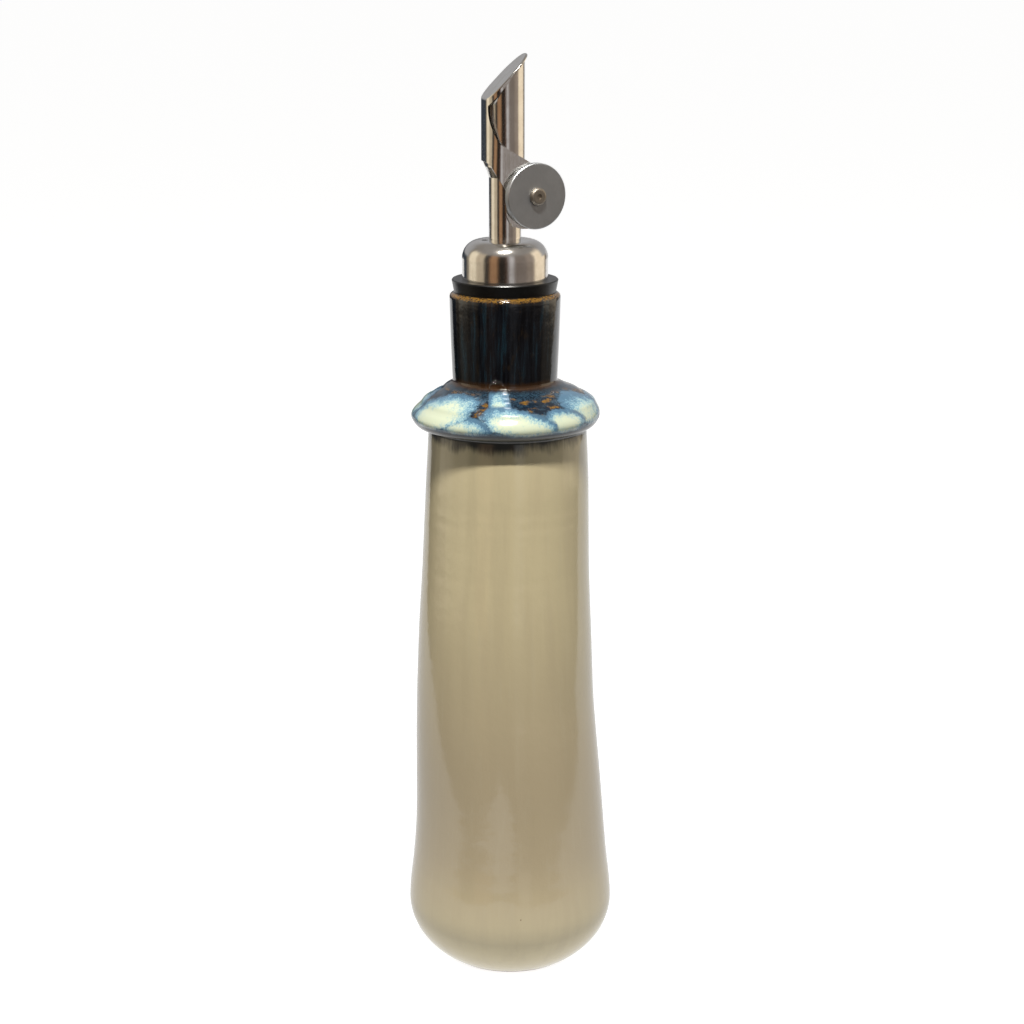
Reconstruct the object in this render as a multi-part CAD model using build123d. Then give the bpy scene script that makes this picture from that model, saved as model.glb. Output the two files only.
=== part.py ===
"""Stoneware oil bottle with a pull-out pourer whose weighted flap closes the spout.

Origin: centre of the bottle's foot. +Z up, +X the way the oil pours. Millimetres.
"""
from build123d import *
from math import asin, cos, degrees, radians, sin, tan
import os

os.makedirs("parts", exist_ok=True)

# ---------------------------------------------------------------- fits and clearances
running_fit = 0.05        # radial gap of a pin, core or rib that turns or slides
hood_gap = 0.15           # flap hood to nozzle, each side
mouth_gap = 0.25          # closed lid to the nozzle's mouth
seat_gap = 0.05           # dome and core head above the rubber flange

# ---------------------------------------------------------------- spout and air tube
tube_radius = 4.5
tube_wall = 0.6
tube_length = 55.5        # from the flange to the middle of the slanted mouth
tube_tail = 2.0           # tube below the core's lower end
nozzle_flare = 1.0        # nozzle radius over tube radius
swage_length = 3.0
air_tube_radius = 1.1
air_tube_bore = 0.7
air_tube_length = 62.0
vent_radius = 0.9

# ---------------------------------------------------------------- plastic core and steel dome
core_web = 0.25           # between the core's two passages
core_rim = 0.6            # outside the air passage
core_length = 26.0        # below the flange's upper face
dome_overhang = 4.55      # dome radius over core radius
dome_height = 10.95       # above the flange
dome_round = 5.0
dome_sheet = 0.6

# ---------------------------------------------------------------- rubber sleeve
sleeve_wall = 1.3
sleeve_length = 23.0      # below the flange
rib_stand = 0.85          # ribs over the sleeve's barrel
rib_height = 2.6
rib_slope = 0.7           # share of a rib's height that slopes
rib_count = 4
rib_start = 0.3           # plain sleeve under the first rib, in rib pitches
rib_margin = 0.4          # plain sleeve at both ends together, in rib pitches
flange_thickness = 3.6
flange_inset = 0.6        # flange's edge inside the neck's rim
flange_taper = 0.7        # narrower underneath
flange_edge = 0.3

# ---------------------------------------------------------------- stoneware body
belly_radius = 29.75      # widest, low on the body
belly_height = 18.0
belly_depth = 22.3        # vertical half-axis of the elliptical underside
shoulder_radius = 22.6    # top of the body, under the drip ring
side_height = 141.8       # from the belly up to the shoulder
side_lean = 0.045         # inward slope of the side at the shoulder
# The side passes these points: shares of its whole fall inwards and of its height.
side_shape = [(0.105, 0.065), (0.46, 0.345), (0.755, 0.68)]
wall = 4.0
floor = 5.5
floor_dish = 2.0          # floor's rise by the time it nears the wall
dish_reach = 0.62         # where it has risen so, as a share of the belly's radius

# ---------------------------------------------------------------- drip ring and neck
ring_stand = 4.45         # ring over the shoulder
ring_rise = 3.6           # shoulder to the ring's widest line
cove_height = 9.6         # ring's widest line to the neck's foot
# Underside of the ring: shares of ring_stand inwards and of ring_rise down.
ring_under = [(0.5, 0.92), (0.11, 0.46)]
# Upper side: shares of the way in to the neck and of cove_height up. The rest is a straight cone.
ring_upper = (0.16, 0.33)
cone_start = (0.38, 0.57)
neck_length = 25.4
neck_wall = 5.9           # at the rim
neck_flare = 0.8          # rim radius over the radius at the neck's foot
rim_round = 1.5
bore_depth = 26.4         # straight bore, below the rim
cavity_shoulder = (0.6, 0.68)  # shares of the way out from the bore and up from the shoulder

# ---------------------------------------------------------------- flap hood
hood_sheet = 0.6
hood_corner = 4.2         # outer radius of the hood's two back corners
hood_edge_round = 0.45    # rolled edge round the lid
lid_slope = 46.0
lid_bend = 2.0
lip_depth = 1.1           # turned-down lip at the lid's heel, running out to nothing
lip_end = 3.2             # where the lip has run out
back_height = 6.3         # lower end of the back over the pivot
window_top = 24.8         # top of the side window over the pivot
# Points given as (distance from the hood's back, height over the pivot).
window_side = [(0.53, 19.9), (1.01, 16.8), (2.29, 13.3)]
window_foot = 3.65        # where the window meets the arm, from the hood's back
lower_side = [(1.55, 4.5), (3.43, 1.3)]
lower_slope = -0.35       # fall of the lower edge where it leaves the back
arm_height = 9.74         # arm's upper edge over the pivot, above the spout's axis
arm_slope = 30.7          # fall of the arm's upper edge
bend_line = 4.5           # the tab bends inwards here
tab_bend = 16.0
tab_right = 12.6
tab_left = -1.1
tab_drop = 12.1           # tab's lower edge under the pivot
tab_round = 5.0
far_ear_round = 2.4
near_ear_drop = 2.7       # where the near ear's lower edge turns down, under the pivot

# ---------------------------------------------------------------- pivot, weight and rivet
pivot_rise = 26.7         # pivot over the flange
swage_rise = 1.8          # start of the nozzle's swage over the pivot
pin_radius = 0.75
pin_head_radius = 1.6
near_head_height = 0.4
far_head_height = 0.9
disc_radius = 9.2
disc_thickness = 2.0
disc_chamfer = 0.25
disc_reach = 2.5          # disc centre beyond the bend line, along the tab
disc_drop = 3.0           # disc centre under the pivot
rivet_radius = 1.5
rivet_head_radius = 2.45
rivet_head_height = 1.3
rivet_back_height = 0.5
dimple_radius = 0.8
dimple_depth = 0.35
head_rounding = 0.6       # rounding of a rivet's or pin's head, as a share of its height
reach = 60.0              # size of the blocks that only cut others

# ---------------------------------------------------------------- derived sizes and places
nozzle_radius = tube_radius + nozzle_flare
air_tube_offset = tube_radius + core_web + air_tube_radius
core_radius = air_tube_offset + air_tube_radius + core_rim
sleeve_bore = core_radius + running_fit
barrel_radius = sleeve_bore + sleeve_wall
rib_radius = barrel_radius + rib_stand
neck_bore_radius = rib_radius + running_fit
rim_radius = neck_bore_radius + neck_wall
neck_foot_radius = rim_radius - neck_flare
flange_radius = rim_radius - flange_inset
dome_radius = core_radius + dome_overhang
ring_radius = shoulder_radius + ring_stand

shoulder_height = belly_height + side_height
ring_height = shoulder_height + ring_rise
neck_foot_height = ring_height + cove_height
rim_height = neck_foot_height + neck_length
flange_top = rim_height + flange_thickness
head_bottom = flange_top + seat_gap
dome_top = flange_top + dome_height
core_bottom = flange_top - core_length
pivot_height = flange_top + pivot_rise
swage_start = pivot_height + swage_rise
nozzle_start = swage_start + swage_length

hood_half = nozzle_radius + hood_gap + hood_sheet
slope = radians(lid_slope)
mouth_height = flange_top + tube_length
lid_height = mouth_height + (hood_sheet + mouth_gap) / cos(slope)


def turned(outline):
    """Solid of revolution about Z from a closed outline of (radius, height)."""
    return revolve(Plane.XZ * make_face(outline), Axis.Z)


def rod(radius, bottom, top, x=0, y=0):
    """Upright cylinder between two levels."""
    return Pos(x, y, bottom) * extrude(Circle(radius), top - bottom)


def across(radius, y_start, y_end, x, z):
    """Cylinder along Y between two planes."""
    plane = Plane(origin=(x, y_start, z), x_dir=(1, 0, 0), z_dir=(0, 1, 0))
    return extrude(plane * Circle(radius), y_end - y_start)


# ================================================================ fired stoneware bottle
def body_side(inset):
    """Side of the body from the belly up to the shoulder, moved in by inset."""
    fall = belly_radius - shoulder_radius
    bottom = belly_radius - inset
    middle = [(bottom - inward * fall, belly_height + up * side_height) for inward, up in side_shape]
    top = (shoulder_radius - inset, shoulder_height)
    return Spline((bottom, belly_height), *middle, top, tangents=[(0, 1), (-side_lean, 1)])


def ring_side(start):
    """Drip ring from the shoulder round its widest line to the cone, then the cone to the neck."""
    under = [
        (ring_radius - inward * ring_stand, ring_height - down * ring_rise) for inward, down in ring_under
    ]
    fall = ring_radius - neck_foot_radius
    crown = (ring_radius - ring_upper[0] * fall, ring_height + ring_upper[1] * cove_height)
    cone = Vector(ring_radius - cone_start[0] * fall, ring_height + cone_start[1] * cove_height)
    neck_foot = Vector(neck_foot_radius, neck_foot_height)
    round_part = Spline(
        start, *under, (ring_radius, ring_height), crown, cone, tangents=[(1, 0), neck_foot - cone],
    )
    return [round_part, Line(cone, neck_foot)]


def make_bottle():
    foot_angle = degrees(asin(belly_height / belly_depth))
    underside = EllipticalCenterArc(
        (0, belly_height), belly_radius, belly_depth, start_angle=-foot_angle, arc_size=foot_angle,
    )
    foot_radius = (underside @ 0).X
    side = body_side(0)
    rim_outer = (rim_radius, rim_height - rim_round)
    rim_crown = (rim_radius - rim_round, rim_height)
    bore_crown = (neck_bore_radius + rim_round, rim_height)
    bore_edge = (neck_bore_radius, rim_height - rim_round)
    bore_foot = (neck_bore_radius, rim_height - bore_depth)
    inner_side = body_side(wall)
    outward, up = cavity_shoulder
    cavity_width = shoulder_radius - wall - neck_bore_radius
    cavity_rise = bore_foot[1] - shoulder_height
    cavity_top = Spline(
        inner_side @ 1,
        (neck_bore_radius + outward * cavity_width, shoulder_height + up * cavity_rise),
        bore_foot,
        tangents=[(-side_lean, 1), (0, 1)],
    )
    cavity_floor = Spline(
        (0, floor),
        (dish_reach * belly_radius, floor + floor_dish),
        inner_side @ 0,
        tangents=[(1, 0), (0, 1)],
    )
    outline = [
        Line((0, 0), (foot_radius, 0)),
        underside,
        side,
        *ring_side(side @ 1),
        Line((neck_foot_radius, neck_foot_height), rim_outer),
        RadiusArc(rim_outer, rim_crown, -rim_round),
        Line(rim_crown, bore_crown),
        RadiusArc(bore_crown, bore_edge, -rim_round),
        Line(bore_edge, bore_foot),
        cavity_top,
        inner_side,
        cavity_floor,
        Line((0, floor), (0, 0)),
    ]
    return turned(outline)


# ================================================================ rubber sleeve
def make_sleeve():
    flange = turned(Polyline(
        (sleeve_bore, rim_height), (flange_radius - flange_taper, rim_height),
        (flange_radius, flange_top), (sleeve_bore, flange_top), close=True,
    ))
    rims = flange.edges().filter_by(GeomType.CIRCLE)
    flange = chamfer(rims.sort_by(SortBy.RADIUS)[-1], flange_edge)
    bottom = rim_height - sleeve_length
    barrel = rod(barrel_radius, bottom, rim_height)
    pitch = sleeve_length / (rib_count + rib_margin)
    for number in range(rib_count):
        low = bottom + (number + rib_start) * pitch
        high = low + rib_height
        barrel += turned(Polyline(
            (sleeve_bore, low), (barrel_radius, low), (rib_radius, low + rib_slope * rib_height),
            (rib_radius, high), (sleeve_bore, high), close=True,
        ))
    return flange + barrel - rod(sleeve_bore, bottom - 1, flange_top + 1)


# ================================================================ core, dome, tubes
def dome_solid(inset):
    """Dome with a rounded shoulder, moved in by inset, standing on the flange."""
    block = rod(dome_radius - inset, head_bottom, dome_top - inset)
    return fillet(block.faces().sort_by(Axis.Z)[-1].edges(), dome_round - inset)


def make_core():
    head = dome_solid(dome_sheet)
    stem = rod(core_radius, core_bottom, head_bottom)
    passages = rod(tube_radius, core_bottom - 1, dome_top + 1)
    passages += rod(air_tube_radius, core_bottom - 1, dome_top + 1, x=-air_tube_offset)
    return head + stem - passages


def make_dome():
    shell = dome_solid(0) - dome_solid(dome_sheet)
    shell -= rod(tube_radius, head_bottom, dome_top + 1)
    return shell - rod(vent_radius, head_bottom, dome_top + 1, x=-air_tube_offset)


def above_mouth(height_on_axis):
    """Half space above the slanted mouth plane, as a large block."""
    plane = Plane(origin=(0, 0, height_on_axis), x_dir=(0, 1, 0), z_dir=(-sin(slope), 0, cos(slope)))
    return extrude(plane * Rectangle(reach, reach), reach)


def make_spout():
    bottom = core_bottom - tube_tail
    top = lid_height + 2 * nozzle_radius
    outside = turned(Polyline(
        (0, bottom), (tube_radius, bottom), (tube_radius, swage_start),
        (nozzle_radius, nozzle_start), (nozzle_radius, top), (0, top), close=True,
    ))
    inside = turned(Polyline(
        (0, bottom - 1), (tube_radius - tube_wall, bottom - 1),
        (tube_radius - tube_wall, swage_start), (nozzle_radius - tube_wall, nozzle_start),
        (nozzle_radius - tube_wall, top + 1), (0, top + 1), close=True,
    ))
    pin_hole = across(pin_radius, -2 * tube_radius, 2 * tube_radius, 0, pivot_height)
    return outside - inside - above_mouth(mouth_height) - pin_hole


def make_air_tube():
    top = dome_top - dome_sheet
    bottom = top - air_tube_length
    outside = rod(air_tube_radius, bottom, top, x=-air_tube_offset)
    return outside - rod(air_tube_bore, bottom - 1, top + 1, x=-air_tube_offset)


# ================================================================ flap hood
def side_prism(face):
    """Prism along Y of a face drawn in (x, z)."""
    return extrude(Plane.XZ * face, reach, both=True)


def hood_outline(half, corner, front):
    """Plan of the hood: rounded back corners, and a round or a long straight front."""
    back = [
        Line((0, half), (corner - half, half)),
        RadiusArc((corner - half, half), (-half, half - corner), -corner),
        Line((-half, half - corner), (-half, corner - half)),
        RadiusArc((-half, corner - half), (corner - half, -half), -corner),
        Line((corner - half, -half), (0, -half)),
    ]
    if front == "round":
        return make_face(back + [RadiusArc((0, -half), (0, half), -half)])
    return make_face(back + [Polyline((0, -half), (reach, -half), (reach, half), (0, half))])


def hood_block(inset, plan_front, edge_round=0):
    """Solid inside the hood's outer face, moved in by inset, under the lid."""
    half = hood_half - inset
    low = pivot_height - 2 * tab_drop - inset
    lid = lid_height - inset / cos(slope)
    corner = (-half, lid - half * tan(slope))
    lid_front = (reach, lid + reach * tan(slope))
    plan = hood_outline(half, hood_corner - inset, plan_front)
    block = Pos(0, 0, low) * extrude(plan, reach + lid - low)
    block &= side_prism(make_face(Polyline((-reach, low), (-reach, lid - reach * tan(slope)),
                                           lid_front, (reach, low), close=True)))
    if edge_round:
        lid_face = block.faces().sort_by_distance((0, 0, lid))[0]
        block = fillet(lid_face.edges(), edge_round)
    sharp = make_face(Polyline((-half, low), corner, lid_front, (reach, low), close=True))
    heel = sharp.vertices().sort_by_distance((*corner, 0))[0]
    return block - side_prism(sharp - fillet(heel, lid_bend - inset))


def arm_top(x):
    """Upper edge of the arm, falling towards the pouring side."""
    return pivot_height + arm_height - x * tan(radians(arm_slope))


def lid_region():
    """Side view of the lid and its lip."""
    heel = -hood_half - 1
    front = hood_half + 1
    rise = tan(slope)
    under = lid_height - hood_sheet / cos(slope)
    lip = lip_depth / cos(slope)
    above = lid_height + front * rise + 1
    return make_face(Polyline(
        (heel, under + heel * rise - lip), (lip_end, under + lip_end * rise),
        (front, under + front * rise), (front, above), (heel, above), close=True,
    ))


def hood_point(from_back, over_pivot):
    """Point of the side view, measured from the hood's back and the pivot."""
    return (from_back - hood_half, pivot_height + over_pivot)


def hood_back():
    """Outline behind the back, from the window's top down to the back's lower end."""
    return Polyline(
        hood_point(window_side[0][0], window_top), hood_point(-1, window_top),
        hood_point(-1, back_height), hood_point(0, back_height),
    )


def window_edge():
    """Edge of the side window, from the lid's heel down to the arm's straight edge."""
    top = hood_point(window_side[0][0], window_top)
    side = [hood_point(*point) for point in window_side]
    end = (window_foot - hood_half, arm_top(window_foot - hood_half))
    fall = (cos(radians(arm_slope)), -sin(radians(arm_slope)))
    return Spline(top, *side, end, tangents=[(0, -1), fall])


def lower_edge(end, tangent):
    """Lower edge of the hood, from its back down and forwards to an ear's end."""
    side = [hood_point(*point) for point in lower_side]
    return Spline(hood_point(0, back_height), *side, end, tangents=[(1, lower_slope), tangent])


def near_region():
    """Side view of the back and the near ear, with the broad tab for the weight."""
    window = window_edge()
    start = (tab_left, pivot_height - near_ear_drop)
    bottom = pivot_height - tab_drop
    corners = [(tab_left, bottom), (tab_right, bottom), (tab_right, arm_top(tab_right))]
    outline = [window, lower_edge(start, (0.1, -1)), Polyline(start, *corners, window @ 1), hood_back()]
    face = make_face(outline)
    for corner in corners:
        face = fillet(face.vertices().sort_by_distance((*corner, 0))[0], tab_round)
    return face


def far_region():
    """Side view of the back and the far ear, rounded about the pivot."""
    window = window_edge()
    start = (-far_ear_round, pivot_height)
    front = (far_ear_round, pivot_height)
    outline = [
        window,
        lower_edge(start, (0, -1)),
        RadiusArc(start, front, -far_ear_round),
        Polyline(front, (far_ear_round, arm_top(far_ear_round)), window @ 1),
        hood_back(),
    ]
    return make_face(outline)


tab_plane = Plane(
    origin=(bend_line, -hood_half, 0),
    x_dir=(cos(radians(tab_bend)), sin(radians(tab_bend)), 0),
    z_dir=(sin(radians(tab_bend)), -cos(radians(tab_bend)), 0),
)
weight_place = tab_plane.location * Pos(disc_reach, pivot_height - disc_drop, 0)


def make_hood():
    lid = hood_block(0, "round", hood_edge_round) - hood_block(hood_sheet, "round")
    lid &= side_prism(lid_region())
    walls = hood_block(0, "straight") - hood_block(hood_sheet, "straight")
    near = walls & extrude(Plane.XZ * near_region(), reach)
    near &= Pos(bend_line - reach / 2, 0, pivot_height) * Box(reach, reach, 2 * reach)
    far = walls & extrude(Plane.XZ * far_region(), -reach)
    beyond = Pos(bend_line + reach / 2, pivot_height, 0) * Rectangle(reach, 2 * reach)
    tab_face = Pos(-bend_line, 0) * (near_region() & beyond)
    tab = extrude(tab_plane * tab_face, -hood_sheet)
    hood = lid + near + far + tab
    hood -= across(pin_radius + running_fit, -2 * hood_half, 2 * hood_half, 0, pivot_height)
    return hood - weight_place * rod(rivet_radius, -2 * hood_sheet, hood_sheet)


# ================================================================ pin, weight and rivet
def make_pin():
    outer = hood_half + running_fit
    pin = across(pin_radius, -outer, outer, 0, pivot_height)
    near_head = across(pin_head_radius, -outer - near_head_height, -outer, 0, pivot_height)
    far_head = across(pin_head_radius, outer, outer + far_head_height, 0, pivot_height)
    rounded = far_head.edges().sort_by(Axis.Y)[-1]
    return pin + near_head + fillet(rounded, head_rounding * far_head_height)


def make_disc():
    disc = rod(disc_radius, 0, disc_thickness)
    disc = chamfer(disc.edges().filter_by(GeomType.CIRCLE), disc_chamfer)
    return weight_place * (disc - rod(rivet_radius, -1, disc_thickness + 1))


def make_rivet():
    top = disc_thickness + rivet_head_height
    head = rod(rivet_head_radius, disc_thickness, top)
    head = fillet(head.edges().sort_by(Axis.Z)[-1], head_rounding * rivet_head_height)
    head -= rod(dimple_radius, top - dimple_depth, top + 1)
    back = rod(rivet_head_radius, -hood_sheet - rivet_back_height, -hood_sheet)
    return weight_place * (head + rod(rivet_radius, -hood_sheet, disc_thickness) + back)


nodes = {
    "stoneware_bottle": make_bottle,
    "stopper_sleeve": make_sleeve,
    "stopper_core": make_core,
    "dome_cap": make_dome,
    "spout_tube": make_spout,
    "air_tube": make_air_tube,
    "flap_hood": make_hood,
    "pivot_pin": make_pin,
    "counterweight_disc": make_disc,
    "weight_rivet": make_rivet,
}

for name, make in nodes.items():
    export_step(make(), f"parts/{name}.step")
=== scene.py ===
"""Looks of the stoneware oil bottle and its steel pourer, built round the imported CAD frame."""
import bpy
import math
import random
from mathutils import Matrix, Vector


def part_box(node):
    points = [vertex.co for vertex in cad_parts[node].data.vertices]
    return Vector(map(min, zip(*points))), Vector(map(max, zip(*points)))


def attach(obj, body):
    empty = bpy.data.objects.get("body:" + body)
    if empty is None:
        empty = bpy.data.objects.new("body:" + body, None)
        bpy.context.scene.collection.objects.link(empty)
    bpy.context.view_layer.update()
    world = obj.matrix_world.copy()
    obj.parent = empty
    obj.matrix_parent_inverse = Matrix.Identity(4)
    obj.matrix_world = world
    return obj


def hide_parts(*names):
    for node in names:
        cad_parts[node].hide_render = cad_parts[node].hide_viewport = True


MM = 0.001
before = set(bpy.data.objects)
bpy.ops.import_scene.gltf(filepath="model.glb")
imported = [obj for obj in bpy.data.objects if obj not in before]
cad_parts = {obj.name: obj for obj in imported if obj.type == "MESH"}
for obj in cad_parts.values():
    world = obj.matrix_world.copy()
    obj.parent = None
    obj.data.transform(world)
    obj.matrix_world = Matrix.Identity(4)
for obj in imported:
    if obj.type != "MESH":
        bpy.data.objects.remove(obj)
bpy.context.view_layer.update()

# ---------------------------------------------------------------- places taken from the frame
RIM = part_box("stoneware_bottle")[1].z / MM
RING = 0.8236 * RIM       # widest line of the drip ring
NECK_FOOT = 0.8720 * RIM
SHOULDER = 0.8054 * RIM   # top of the body, under the drip ring
VIEW_AZIMUTH = -13.0      # where the camera stands, degrees round from -Y
CAVITY_FLOOR = 5.6        # just over the floor of the oil's space
SPECK_SPACING = 9.0       # of the rare dark specks in the glaze


# ================================================================ node graphs
class Graph:
    """A node tree, with short names for the nodes that are used here."""

    def __init__(self, tree):
        self.tree = tree

    def link(self, value, socket):
        if isinstance(value, bpy.types.NodeSocket):
            self.tree.links.new(value, socket)
        elif isinstance(value, tuple) and len(value) == 3 and socket.type == "RGBA":
            socket.default_value = (*value, 1)
        else:
            socket.default_value = value

    def add(self, kind, **inputs):
        node = self.tree.nodes.new(kind)
        for key, value in inputs.items():
            self.link(value, node.inputs[key.replace("_", " ")])
        return node.outputs[0]

    def math(self, operation, a, b=0.0, clamp=False):
        node = self.tree.nodes.new("ShaderNodeMath")
        node.operation = operation
        node.use_clamp = clamp
        self.link(a, node.inputs[0])
        self.link(b, node.inputs[1])
        return node.outputs[0]

    def mix(self, factor, a, b, blend="MIX"):
        node = self.tree.nodes.new("ShaderNodeMix")
        node.data_type = "RGBA"
        node.blend_type = blend
        self.link(factor, node.inputs[0])
        self.link(a, node.inputs[6])
        self.link(b, node.inputs[7])
        return node.outputs[2]

    def step(self, value, low, high):
        """0 below low, 1 above high, smooth between; swapped limits fall instead of rising."""
        node = self.tree.nodes.new("ShaderNodeMapRange")
        node.interpolation_type = "SMOOTHSTEP"
        rising = low < high
        for key, number in zip((1, 2, 3, 4), (min(low, high), max(low, high), 1 - rising, rising)):
            node.inputs[key].default_value = float(number)
        self.link(value, node.inputs[0])
        return node.outputs[0]

    def ramp(self, factor, stops):
        node = self.tree.nodes.new("ShaderNodeValToRGB")
        elements = node.color_ramp.elements
        elements[0].position, elements[1].position = stops[0][0], stops[-1][0]
        elements[0].color, elements[1].color = (*stops[0][1], 1), (*stops[-1][1], 1)
        for place, colour in stops[1:-1]:
            elements.new(place).color = (*colour, 1)
        self.link(factor, node.inputs[0])
        return node.outputs[0]


class Surface(Graph):
    """A material, its shader and the point of the surface being shaded."""

    def __init__(self, name):
        self.material = bpy.data.materials.new(name)
        self.material.use_nodes = True
        super().__init__(self.material.node_tree)
        self.shader = self.tree.nodes["Principled BSDF"]
        self.point = self.tree.nodes.new("ShaderNodeTexCoord").outputs["Object"]

    def scaled(self, x, y, z):
        """The surface point in millimetres, stretched along each axis."""
        node = self.tree.nodes.new("ShaderNodeMapping")
        node.inputs["Scale"].default_value = (x / MM, y / MM, z / MM)
        self.link(self.point, node.inputs["Vector"])
        return node.outputs[0]

    def noise(self, size, detail=4.0, roughness=0.55, stretch=(1, 1, 1)):
        """Noise with features of about size millimetres, longer along an axis by its stretch."""
        vector = self.scaled(*(1 / (size * s) for s in stretch))
        return self.add("ShaderNodeTexNoise", Vector=vector, Scale=1.0, Detail=detail,
                        Roughness=roughness)

    def axes(self):
        """x, y and z of the surface point in millimetres."""
        node = self.tree.nodes.new("ShaderNodeSeparateXYZ")
        self.link(self.scaled(1, 1, 1), node.inputs[0])
        return node.outputs[0], node.outputs[1], node.outputs[2]

    def bump(self, height, depth, before=None):
        """Normal pushed by a height field of 0 to 1 that is depth millimetres deep."""
        node = self.tree.nodes.new("ShaderNodeBump")
        node.inputs["Distance"].default_value = depth * MM
        self.link(height, node.inputs["Height"])
        if before is not None:
            self.link(before, node.inputs["Normal"])
        return node.outputs[0]

    def finish(self, **inputs):
        for key, value in inputs.items():
            self.link(value, self.shader.inputs[key.replace("_", " ")])
        return self.material


# ================================================================ glaze
CREAM = (0.62, 0.535, 0.335)
SAND = (0.455, 0.375, 0.245)
NAVY = (0.006, 0.014, 0.028)
INK = (0.004, 0.006, 0.009)
SLATE = (0.028, 0.060, 0.090)
DENIM = (0.075, 0.16, 0.25)
SKY = (0.17, 0.33, 0.44)
ICE = (0.36, 0.52, 0.53)
STRAW = (0.60, 0.66, 0.50)
AMBER = (0.20, 0.100, 0.014)
RUST = (0.050, 0.021, 0.006)
CLAY = (0.16, 0.085, 0.04)

# Pools of pale glaze on the drip ring: bearing from the camera in degrees, height over the ring's
# widest line, half width, half height (mm), tilt and how blue. Later pools lie over earlier ones.
POOLS = [
    (66, 3.4, 9.4, 4.3, -0.10, 0.25),
    (-28, 0.6, 9.0, 2.8, -0.06, 0.30),
    (-50, 3.1, 11.0, 4.5, 0.16, 0.0),
    (40, 1.5, 7.4, 3.2, -0.06, 0.1),
    (-4, 6.0, 3.4, 5.2, -0.7, 0.45),
    (9, 1.7, 10.6, 3.6, -0.16, 0.0),
]


def back_pools():
    """More pools, round the side that the others leave bare."""
    draw = random.Random(11)
    pools = []
    for bearing in range(96, 270, 26):
        pools.append((
            bearing + draw.uniform(-5, 5), draw.uniform(0.8, 3.6), draw.uniform(8.0, 11.0),
            draw.uniform(3.0, 4.3), draw.uniform(-0.16, 0.16), draw.uniform(0.0, 0.3),
        ))
    return pools


def pool_layer(g, colour, axes, wobble, grain, pool):
    """Lays one pool of pale glaze over colour. Returns the new colour and the pool's cover."""
    bearing, rise, half_width, half_height, tilt, blue = pool
    x, y, z = axes
    turn = math.radians(VIEW_AZIMUTH + bearing)
    along = g.math("ADD", g.math("MULTIPLY", x, math.cos(turn)), g.math("MULTIPLY", y, math.sin(turn)))
    out = g.math("SUBTRACT", g.math("MULTIPLY", x, math.sin(turn)), g.math("MULTIPLY", y, math.cos(turn)))
    up = g.math("SUBTRACT", z, RING + rise)
    up = g.math("SUBTRACT", up, g.math("MULTIPLY", along, tilt))
    wide = g.math("POWER", g.math("ABSOLUTE", g.math("DIVIDE", along, half_width)), 2.0)
    tall = g.math("POWER", g.math("ABSOLUTE", g.math("DIVIDE", up, half_height)), 2.0)
    edge = g.math("ADD", g.math("ADD", wide, tall), wobble)
    front = g.step(out, 2, 6)
    cover = g.math("MULTIPLY", g.step(edge, 1.20, 0.90), front)
    line = g.math("MULTIPLY", g.step(edge, 1.26, 1.12), front)
    shade = g.math("ADD", edge, g.math("MULTIPLY", g.math("DIVIDE", up, half_height), 0.34))
    shade = g.math("ADD", g.math("ADD", shade, grain), blue)
    pale = g.ramp(shade, [(0.30, STRAW), (0.55, ICE), (0.80, SKY), (1.0, DENIM)])
    colour = g.mix(g.math("MULTIPLY", line, 0.22), colour, NAVY)
    return g.mix(cover, colour, pale), cover


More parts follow.
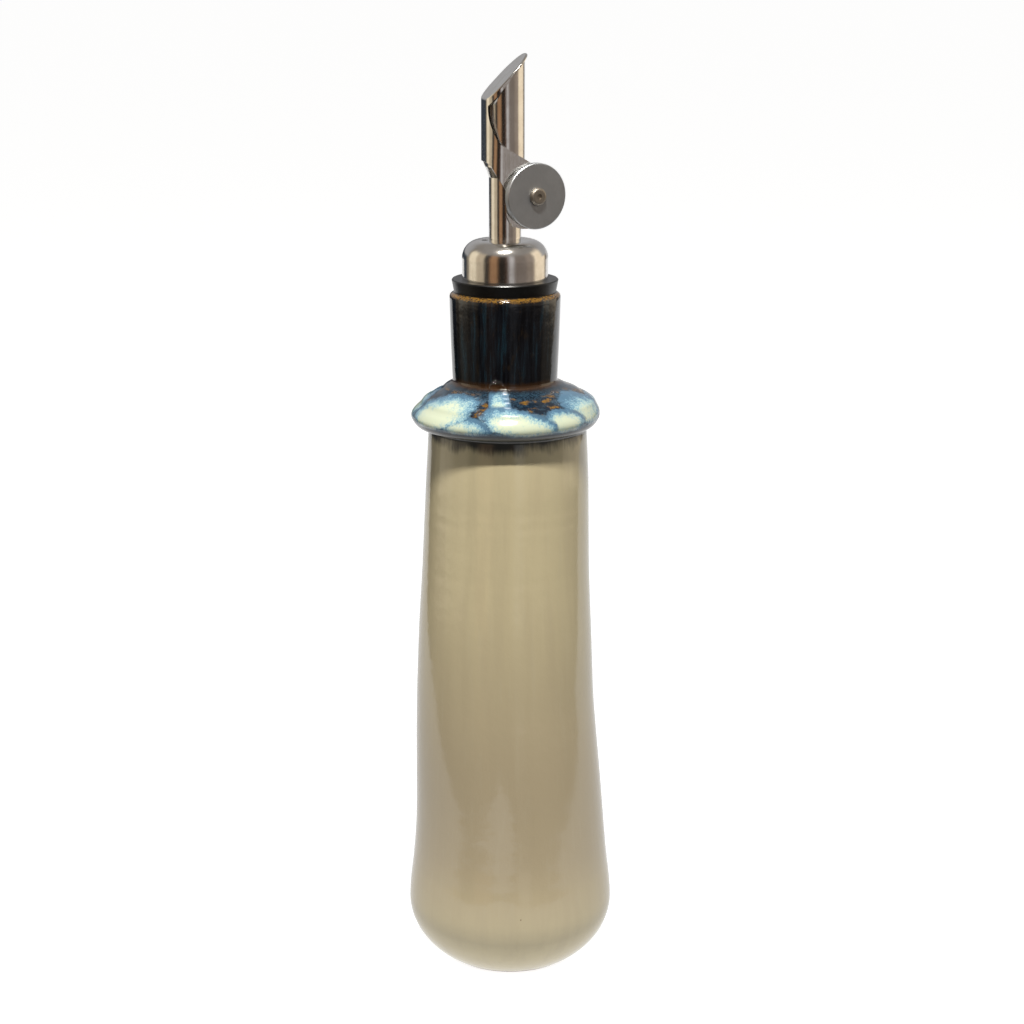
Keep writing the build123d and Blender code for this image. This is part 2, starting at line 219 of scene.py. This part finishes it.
def glaze():
    g = Surface("stoneware_glaze")
    axes = g.axes()
    z = axes[2]
    fine = g.noise(0.55, detail=3)
    soft = g.noise(6.0, detail=3)
    mottle = g.noise(2.2, detail=6, roughness=0.7)
    streak = g.noise(1.5, detail=5, roughness=0.65, stretch=(1, 1, 14))
    broad = g.noise(5.0, detail=3, stretch=(1, 1, 10))
    feather = g.noise(0.8, detail=4, roughness=0.7, stretch=(1, 1, 9))

    # cream body: painted shade makes it warmer and darker lower down, towards its foot, with faint
    # upright streaks and small specks
    body = g.mix(g.step(z, 130, 55), CREAM, SAND)
    # painted bounce light from the table: the last few centimetres above the foot go back to cream
    body = g.mix(g.step(z, 40, 4), body, CREAM)
    body = g.mix(g.math("MULTIPLY", g.step(broad, 0.42, 0.66), 0.22), body, SAND)
    body = g.mix(g.math("MULTIPLY", g.step(streak, 0.5, 0.72), 0.10), body, (0.55, 0.50, 0.37))
    speck = g.tree.nodes.new("ShaderNodeTexVoronoi")
    speck.inputs["Scale"].default_value = 1.0
    density = 1 / SPECK_SPACING
    g.link(g.scaled(density, density, density), speck.inputs["Vector"])
    rare = g.step(speck.outputs["Color"], 0.62, 0.66)
    dot = g.math("MULTIPLY", g.step(speck.outputs["Distance"], 0.040, 0.022), rare)
    body = g.mix(g.math("MULTIPLY", dot, 0.75), body, CLAY)

    # dark glaze that ran down from under the ring
    run = g.math("ADD", g.math("MULTIPLY", feather, 3.0), g.math("MULTIPLY", g.noise(9.0, detail=2), 9.0))
    depth = g.math("SUBTRACT", SHOULDER + 1.0, z)
    veil = g.step(g.math("SUBTRACT", run, depth), 0.4, 4.6)
    body = g.mix(g.math("MULTIPLY", veil, 0.92), body, (0.018, 0.026, 0.036))

    # ring and cove: ink blue with amber flecks, pools of pale glaze over it
    cove = g.ramp(mottle, [(0.30, INK), (0.48, NAVY), (0.66, SLATE)])
    haze = g.math("MULTIPLY", g.step(z, NECK_FOOT - 4.2, NECK_FOOT - 1.0), g.step(fine, 0.36, 0.62))
    cove = g.mix(g.math("MULTIPLY", haze, 0.7), cove, SLATE)
    amber = g.noise(4.0, detail=2, stretch=(1.5, 1.5, 0.45))
    amber_place = g.math("MULTIPLY", g.step(amber, 0.53, 0.61), g.step(z, RING + 2, RING + 4))
    amber_place = g.math("MULTIPLY", amber_place, g.step(z, NECK_FOOT - 0.8, NECK_FOOT - 2.2))
    cove = g.mix(g.math("MULTIPLY", amber_place, g.step(fine, 0.30, 0.62)), cove, AMBER)
    wobble = g.math("MULTIPLY", g.math("SUBTRACT", g.noise(1.4, detail=6, roughness=0.75), 0.5), 1.0)
    wobble = g.math("ADD", wobble, g.math("MULTIPLY", g.math("SUBTRACT", soft, 0.5), 0.8))
    speckle = g.noise(0.42, detail=4, roughness=0.8, stretch=(1, 1, 1.8))
    grain = g.math("MULTIPLY", g.math("SUBTRACT", speckle, 0.5), 1.7)
    grain = g.math("ADD", grain, g.math("MULTIPLY", g.math("SUBTRACT", mottle, 0.5), 0.9))
    wash_top = g.math("ADD", z, g.math("MULTIPLY", g.math("SUBTRACT", g.noise(5.0, detail=5), 0.5), 9.0))
    wash = g.ramp(speckle, [(0.26, SLATE), (0.44, DENIM), (0.62, SKY)])
    ring = g.mix(g.step(wash_top, RING + 4.4, RING + 3.2), cove, wash)
    relief = 0.0
    for pool in back_pools() + POOLS:
        ring, cover = pool_layer(g, ring, axes, wobble, grain, pool)
        relief = g.math("MAXIMUM", relief, cover)
    lower = g.math("ADD", z, g.math("MULTIPLY", g.math("SUBTRACT", soft, 0.5), 2.0))
    ring = g.mix(g.step(lower, RING - 0.6, RING - 1.9), ring, NAVY)

    # neck: near black with blue, teal and brown streaks, rusty at its foot, amber at the rim
    neck = g.ramp(streak, [(0.36, (0.003, 0.003, 0.004)), (0.52, (0.008, 0.009, 0.012)),
                           (0.64, (0.010, 0.024, 0.034)), (0.76, (0.030, 0.050, 0.062))])
    brown = g.noise(1.2, detail=5, roughness=0.7, stretch=(1, 1, 3))
    neck = g.mix(g.math("MULTIPLY", g.step(brown, 0.54, 0.70), 0.55), neck, (0.026, 0.016, 0.007))
    foot = g.math("ADD", z, g.math("MULTIPLY", mottle, 1.4))
    rusty = g.step(foot, NECK_FOOT - 0.2, NECK_FOOT + 0.8)
    rusty = g.math("MULTIPLY", rusty, g.step(foot, NECK_FOOT + 2.8, NECK_FOOT + 1.4))
    neck = g.mix(g.math("MULTIPLY", rusty, 0.7), neck, RUST)
    lip = g.math("ADD", z, g.math("MULTIPLY", g.math("SUBTRACT", g.noise(0.9, detail=4), 0.5), 1.6))
    gold = g.math("MULTIPLY", g.step(lip, RIM - 1.4, RIM - 0.7), g.step(lip, RIM + 0.2, RIM - 0.3))
    neck = g.mix(g.math("MULTIPLY", gold, g.step(fine, 0.30, 0.62)), neck, AMBER)

    # foot ring left bare, and the three zones put together
    colour = g.mix(g.step(z, SHOULDER + 1.3, SHOULDER + 1.9), body, ring)
    colour = g.mix(g.step(foot, NECK_FOOT - 0.8, NECK_FOOT + 0.6), colour, neck)
    bare = g.step(g.math("ADD", z, g.math("MULTIPLY", soft, 0.5)), 1.1, 0.7)
    colour = g.mix(bare, colour, CLAY)

    roughness = g.math("ADD", g.math("MULTIPLY", mottle, 0.08), 0.07)
    roughness = g.math("ADD", roughness, g.math("MULTIPLY", bare, 0.5), clamp=True)
    relief = g.math("MULTIPLY", relief, g.step(z, SHOULDER + 2.0, SHOULDER + 3.0))
    normal = g.bump(relief, 0.22)
    normal = g.bump(g.noise(3.0, detail=2), 0.05, normal)
    return g.finish(Base_Color=colour, Roughness=roughness, Normal=normal, IOR=1.52,
                    Coat_Weight=0.15, Coat_Roughness=0.04)


# ================================================================ metal, rubber, plastic
def polished_steel():
    g = Surface("polished_steel")
    smear = g.noise(4.0, detail=4)
    scratch = g.noise(0.22, detail=6, roughness=0.8, stretch=(1, 1, 60))
    colour = g.mix(g.step(smear, 0.35, 0.7), (0.74, 0.72, 0.69), (0.68, 0.65, 0.61))
    colour = g.mix(g.math("MULTIPLY", g.step(scratch, 0.5, 0.75), 0.35), colour, (0.46, 0.43, 0.40))
    roughness = g.math("ADD", g.math("MULTIPLY", smear, 0.10), g.math("MULTIPLY", scratch, 0.10))
    roughness = g.math("ADD", roughness, 0.05)
    normal = g.bump(scratch, 0.012, g.bump(smear, 0.012))
    return g.finish(Base_Color=colour, Metallic=1.0, Roughness=roughness, Normal=normal)


def satin_steel(name, dark, light):
    g = Surface(name)
    grain = g.noise(0.35, detail=6, roughness=0.75, stretch=(1, 1, 4))
    cloud = g.noise(5.0, detail=3)
    colour = g.mix(grain, dark, light)
    rubbed = tuple(1.1 * part for part in light)
    colour = g.mix(g.math("MULTIPLY", g.step(cloud, 0.4, 0.7), 0.3), colour, rubbed)
    roughness = g.math("ADD", g.math("MULTIPLY", grain, 0.12), 0.42)
    return g.finish(Base_Color=colour, Metallic=1.0, Roughness=roughness, Normal=g.bump(grain, 0.01))


def rubber():
    g = Surface("black_rubber")
    dust = g.noise(0.9, detail=5, roughness=0.7)
    colour = g.mix(g.step(dust, 0.5, 0.8), (0.003, 0.003, 0.003), (0.010, 0.0095, 0.009))
    roughness = g.math("ADD", g.math("MULTIPLY", dust, 0.2), 0.22)
    return g.finish(Base_Color=colour, Roughness=roughness, Normal=g.bump(dust, 0.02))


def core_plastic():
    g = Surface("core_plastic")
    grain = g.noise(0.6, detail=4)
    colour = g.mix(grain, (0.020, 0.020, 0.021), (0.034, 0.034, 0.035))
    roughness = g.math("ADD", g.math("MULTIPLY", grain, 0.15), 0.4)
    return g.finish(Base_Color=colour, Roughness=roughness, Normal=g.bump(grain, 0.015))


def dress_cad_nodes():
    finishes = [
        (polished_steel(), ("dome_cap", "spout_tube", "air_tube", "flap_hood", "pivot_pin")),
        (satin_steel("satin_steel", (0.38, 0.40, 0.42), (0.50, 0.52, 0.54)), ("counterweight_disc",)),
        (satin_steel("worn_steel", (0.26, 0.23, 0.19), (0.38, 0.34, 0.29)), ("weight_rivet",)),
        (rubber(), ("stopper_sleeve",)),
        (core_plastic(), ("stopper_core",)),
    ]
    for material, names in finishes:
        for name in names:
            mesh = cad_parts[name].data
            mesh.materials.clear()
            mesh.materials.append(material)


# ================================================================ hand-thrown bottle
def cad_radius(height, outside):
    """Radius of the CAD bottle's outer or inner wall at a height, in mm."""
    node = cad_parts["stoneware_bottle"]
    turn = Vector((math.cos(0.3), math.sin(0.3), 0))
    start = turn * (0.2 if outside else 0.0) + Vector((0, 0, height * MM))
    hit, place, _, _ = node.ray_cast(start, -turn if outside else turn)
    return math.hypot(place.x, place.y) / MM if hit else 0.0


def smoothed(values, reach):
    """Running mean, with the ends kept."""
    last = len(values) - 1
    result = []
    for i in range(len(values)):
        span = min(reach, i, last - i)
        window = values[i - span:i + span + 1]
        result.append(sum(window) / len(window))
    return result


def resampled(points, step):
    """Points about step mm apart along a polyline, with both ends kept."""
    lengths = [0.0]
    for a, b in zip(points, points[1:]):
        lengths.append(lengths[-1] + math.dist(a, b))
    count = max(2, round(lengths[-1] / step))
    result = []
    at = 0
    for number in range(count + 1):
        want = lengths[-1] * number / count
        while at < len(points) - 2 and lengths[at + 1] < want:
            at += 1
        share = (want - lengths[at]) / max(lengths[at + 1] - lengths[at], 1e-9)
        a, b = points[at], points[at + 1]
        result.append(tuple(p + (q - p) * share for p, q in zip(a, b)))
    return result


def bottle_profile():
    """Outer wall from the foot to the rim, then the inner wall back down, as (radius, height)."""
    fine = 0.2
    levels = [0.02 + fine * n for n in range(int((RIM - 0.04) / fine))] + [RIM - 0.02]
    outer = smoothed([cad_radius(h, True) for h in levels], 1)
    inside = [h for h in levels if h > CAVITY_FLOOR]
    inner = smoothed([cad_radius(h, False) for h in inside], 3)
    body = [(r, h) for r, h in zip(outer, levels) if h < SHOULDER - 2]
    top = [(r, h) for r, h in zip(outer, levels) if h >= SHOULDER - 2]
    bore = [(r, h) for r, h in zip(inner, inside)][::-1]
    return resampled(body, 1.2) + resampled(top, 0.45)[1:] + resampled(bore, 1.6)


def smooth(value):
    """0 to 1 with soft ends."""
    value = max(0.0, min(1.0, value))
    return value * value * (3 - 2 * value)


def lean(height):
    """How far the wall's centre strays from the axis at a height, in mm."""
    if height < SHOULDER:
        return 0.7 * smooth((height - 100) / 55) + 1.5 * smooth((85 - height) / 50)
    return 1.0 * smooth((height - RING + 1) / 5) * smooth((NECK_FOOT - height) / 3)


def thrown(radius, height, turn, outside):
    """A point of the wall with the small unevenness of hand throwing, in metres."""
    if outside:
        cone = smooth((height - RING - 4) / 2) * smooth((NECK_FOOT - height) / 1.5)
        radius += 0.14 * cone * math.sin(2 * math.pi * (height + turn / 6.3 * 2.0) / 2.0)
        radius += 0.06 * math.sin(height / 7.0 + 0.8 * math.sin(turn)) * min(1.0, height / 30)
        ring = max(0.0, 1 - ((height - RING) / 6) ** 2)
        radius += ring * (0.15 * math.sin(3 * turn + 0.5) + 0.10 * math.sin(5 * turn + 2.0) - 0.1)
    side = math.radians(VIEW_AZIMUTH)
    shift = lean(height)
    x = radius * math.cos(turn) + shift * math.cos(side)
    y = radius * math.sin(turn) + shift * math.sin(side)
    return (x * MM, y * MM, height * MM)


def make_bottle():
    profile = bottle_profile()
    crown = max(range(len(profile)), key=lambda i: profile[i][1])
    around = 240
    vertices = []
    for row, (radius, height) in enumerate(profile):
        for n in range(around):
            vertices.append(thrown(radius, height, 2 * math.pi * n / around, row <= crown))
    faces = []
    for row in range(len(profile) - 1):
        for n in range(around):
            a, b = row * around + n, row * around + (n + 1) % around
            faces.append((a, b, b + around, a + around))
    for row in (0, len(profile) - 1):
        pole = len(vertices)
        first = row * around
        ring = vertices[first:first + around]
        vertices.append(tuple(sum(p[k] for p in ring) / around for k in range(3)))
        for n in range(around):
            pair = (first + (n + 1) % around, first + n)
            faces.append((*pair, pole) if row == 0 else (*reversed(pair), pole))
    mesh = bpy.data.meshes.new("thrown_bottle")
    mesh.from_pydata(vertices, [], faces)
    mesh.shade_smooth()
    piece = bpy.data.objects.new("thrown_bottle", mesh)
    bpy.context.scene.collection.objects.link(piece)
    mesh.materials.append(glaze())
    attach(piece, "bottle")
    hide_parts("stoneware_bottle")


# ================================================================ studio
def plain(name, colour, glow):
    """Matt paint that glows a little, so that the floor stays pale in the shade."""
    material = bpy.data.materials.new(name)
    material.use_nodes = True
    shader = material.node_tree.nodes["Principled BSDF"]
    shader.inputs["Base Color"].default_value = (*colour, 1)
    shader.inputs["Roughness"].default_value = 0.6
    shader.inputs["Specular IOR Level"].default_value = 0.0
    shader.inputs["Emission Color"].default_value = (1, 1, 1, 1)
    shader.inputs["Emission Strength"].default_value = glow
    return material


def staged(name, vertices, faces, material):
    mesh = bpy.data.meshes.new(name)
    mesh.from_pydata(vertices, [], faces)
    mesh.materials.append(material)
    obj = bpy.data.objects.new(name, mesh)
    bpy.context.scene.collection.objects.link(obj)
    return obj


# What mirrors and glaze see round the bottle: where each band starts, in degrees round from the
# camera's side, and its colour.
BANDS = [
    (-180, (0.045, 0.055, 0.07)),
    (-124, (0.30, 0.26, 0.20)),
    (-112, (1.05, 0.92, 0.70)),
    (-84, (0.62, 0.52, 0.38)),
    (-58, (0.05, 0.045, 0.04)),
    (-42, (0.42, 0.24, 0.13)),
    (-20, (0.03, 0.024, 0.02)),
    (2, (0.10, 0.05, 0.03)),
    (10, (0.60, 0.58, 0.58)),
    (24, (0.24, 0.20, 0.175)),
    (60, (0.34, 0.28, 0.235)),
    (86, (1.15, 0.98, 0.74)),
    (132, (0.22, 0.18, 0.15)),
    (146, (0.62, 0.62, 0.62)),
]
AMBIENT = 0.17            # even light on matt surfaces
FLOOR_GLOW = 0.90
SWEEP_GLOW = 0.95


def make_world():
    """White to the camera, an even dim light to matt surfaces, and a banded room to glossy ones."""
    world = bpy.data.worlds.new("studio")
    world.use_nodes = True
    g = Graph(world.node_tree)
    output = g.tree.nodes["World Output"]
    background = g.tree.nodes["Background"]
    direction = g.tree.nodes.new("ShaderNodeVectorRotate")
    direction.rotation_type = "Z_AXIS"
    direction.inputs["Angle"].default_value = -math.radians(VIEW_AZIMUTH)
    g.link(g.tree.nodes.new("ShaderNodeTexCoord").outputs["Generated"], direction.inputs["Vector"])
    parts = g.tree.nodes.new("ShaderNodeSeparateXYZ")
    g.link(direction.outputs[0], parts.inputs[0])
    turn = g.math("ARCTAN2", parts.outputs[0], g.math("MULTIPLY", parts.outputs[1], -1.0))
    share = g.math("ADD", g.math("DIVIDE", turn, 2 * math.pi), 0.5)
    stops = []
    soft = 2.2
    for number, (start, colour) in enumerate(BANDS):
        if number:
            stops.append(((start + soft + 180) / 360, colour))
        else:
            stops.append((0.0, colour))
        end = BANDS[number + 1][0] if number + 1 < len(BANDS) else 180
        stops.append(((end - soft + 180) / 360, colour))
    room = g.ramp(share, stops)
    rise = g.math("MULTIPLY", g.math("ARCSINE", parts.outputs[2]), 180 / math.pi)
    behind = g.math("MULTIPLY", g.step(parts.outputs[1], 0.35, 0.6), g.step(rise, 2, 7))
    room = g.mix(behind, room, (0.42, 0.42, 0.43))
    room = g.mix(g.step(rise, 26, 46), room, (0.30, 0.28, 0.26))
    dim = g.math("SUBTRACT", 1.0, g.math("MULTIPLY", g.step(rise, -9.5, -12), 0.86))
    room = g.mix(1.0, room, dim, blend="MULTIPLY")
    path = g.tree.nodes.new("ShaderNodeLightPath")
    colour = g.mix(path.outputs["Is Glossy Ray"], (AMBIENT, AMBIENT * 0.97, AMBIENT * 0.92), room)
    colour = g.mix(path.outputs["Is Camera Ray"], colour, (1.0, 1.0, 1.0))
    g.link(colour, background.inputs["Color"])
    g.link(background.outputs[0], output.inputs["Surface"])
    bpy.context.scene.world = world


def make_lamp(name, bearing, height, distance, sides, energy, colour):
    """Flat lamp of the given width and height that looks at the bottle's middle."""
    turn = math.radians(VIEW_AZIMUTH + bearing)
    light = bpy.data.lights.new(name, "AREA")
    light.shape = "RECTANGLE"
    light.size, light.size_y = sides
    light.energy = energy
    light.color = colour
    lamp = bpy.data.objects.new(name, light)
    bpy.context.scene.collection.objects.link(lamp)
    lamp.location = (distance * math.sin(turn), -distance * math.cos(turn), height)
    aim = Vector((0, 0, 0.12)) - lamp.location
    lamp.rotation_euler = aim.to_track_quat("-Z", "Y").to_euler()
    return lamp


def make_sweep():
    """Pale sheet that the bottle stands on, from just before it to far behind. Only its bounce and
    its reflection in the glaze show. Its front edge has two bays."""
    outline = [
        (-0.33, -0.05), (-0.22, 0.05), (-0.12, 0.12), (-0.07, 0.20), (-0.04, 0.26),
        (0.0, 0.23), (0.05, 0.17), (0.11, 0.14), (0.17, 0.11), (0.28, 0.0),
        (0.48, -0.22), (0.72, -0.42), (1.0, -1.5), (-1.0, -1.5), (-0.42, -0.42),
    ]
    side = math.radians(VIEW_AZIMUTH)
    vertices = []
    for right, near in outline:
        x = right * math.cos(side) + near * math.sin(side)
        y = right * math.sin(side) - near * math.cos(side)
        vertices.append((x, y, -0.001))
    face = tuple(reversed(range(len(vertices))))
    sheet = staged("sweep", vertices, [face], plain("sweep_white", (0, 0, 0), SWEEP_GLOW))
    sheet.visible_camera = False
    sheet.visible_shadow = False
    sheet.visible_transmission = False


def make_studio():
    half = 30.0
    corners = [(-half, -half, 0), (half, -half, 0), (half, half, 0), (-half, half, 0)]
    floor = staged("floor", corners, [(0, 1, 2, 3)], plain("floor_white", (0.50, 0.50, 0.50), FLOOR_GLOW))
    floor.visible_glossy = False
    floor.visible_diffuse = False
    make_sweep()
    make_lamp("key_lamp", 0, 0.78, 0.285, (0.11, 0.018), 7.3, (1.0, 0.97, 0.91))
    for name, bearing in (("left_lamp", -105), ("right_lamp", 100)):
        lamp = make_lamp(name, bearing, 0.5, 0.75, (0.1, 0.1), 0.35, (1.0, 0.97, 0.93))
        lamp.visible_glossy = False
    make_world()


def make_camera():
    """Long lens a little over the bottle's top, looking down at it."""
    turn = math.radians(VIEW_AZIMUTH)
    distance, height, tilt = 0.742, 0.3134, 13.57
    data = bpy.data.cameras.new("camera")
    data.sensor_width = 36.0
    data.lens = 93.34
    data.shift_x = 0.0068
    camera = bpy.data.objects.new("camera", data)
    bpy.context.scene.collection.objects.link(camera)
    camera.location = (distance * math.sin(turn), -distance * math.cos(turn), height)
    camera.rotation_euler = (math.radians(90 - tilt), 0, turn)
    bpy.context.scene.camera = camera


bpy.context.scene.view_settings.view_transform = "Standard"
make_bottle()
dress_cad_nodes()
make_studio()
make_camera()
